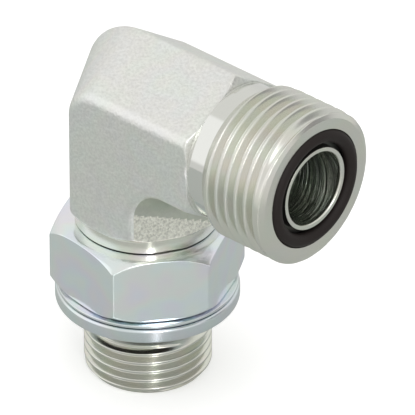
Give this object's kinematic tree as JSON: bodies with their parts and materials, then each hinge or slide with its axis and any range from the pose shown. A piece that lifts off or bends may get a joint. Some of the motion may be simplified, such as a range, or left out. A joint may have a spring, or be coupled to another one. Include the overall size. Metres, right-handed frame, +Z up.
{
  "type": "adjustable ninety degree hydraulic elbow fitting",
  "caption": "Adjustable ninety degree elbow that joins a tube with a face seal nut to a parallel thread port, with a locknut, a backing washer and seal rings.",
  "frame": {"origin": "centre of the stud's end face, where the stud's passage opens", "axes": "+Z up the stud's axis towards the elbow, +X along the arm towards its seal face, +Y across the fitting"},
  "size_m": [0.0417, 0.0238, 0.0495],
  "materials": {
    "body_steel": "zinc plated forging with turned ends, silver with a faint olive tint",
    "face_seal_rubber": "satin black nitrile rubber",
    "nut_steel": "zinc plated, blue silver",
    "washer_steel": "zinc plated, blue silver",
    "ring_steel": "zinc plated, blue silver",
    "stud_seal_rubber": "satin black nitrile rubber"
  },
  "bodies": {
    "elbow": {"elbow_body": "body_steel", "face_seal_o_ring": "face_seal_rubber"},
    "seal_stack": {"backup_washer": "washer_steel", "retaining_ring": "ring_steel", "stud_o_ring": "stud_seal_rubber"},
    "nut": {"locknut": "nut_steel"}
  },
  "joints": [
    {"name": "ring_slide", "type": "slide", "parent": "elbow", "child": "seal_stack", "axis": [0, 0, -1], "range_m": [0, 0.0027]},
    {"name": "locknut_turn", "type": "hinge", "parent": "seal_stack", "child": "nut", "pos_m": [0, 0, 0.018], "axis": [0, 0, -1], "range_deg": [0, 720]}
  ],
  "couplings": [
    {"joint": "ring_slide", "follows": "locknut_turn", "m_per_rad": 0.00021279}
  ]
}
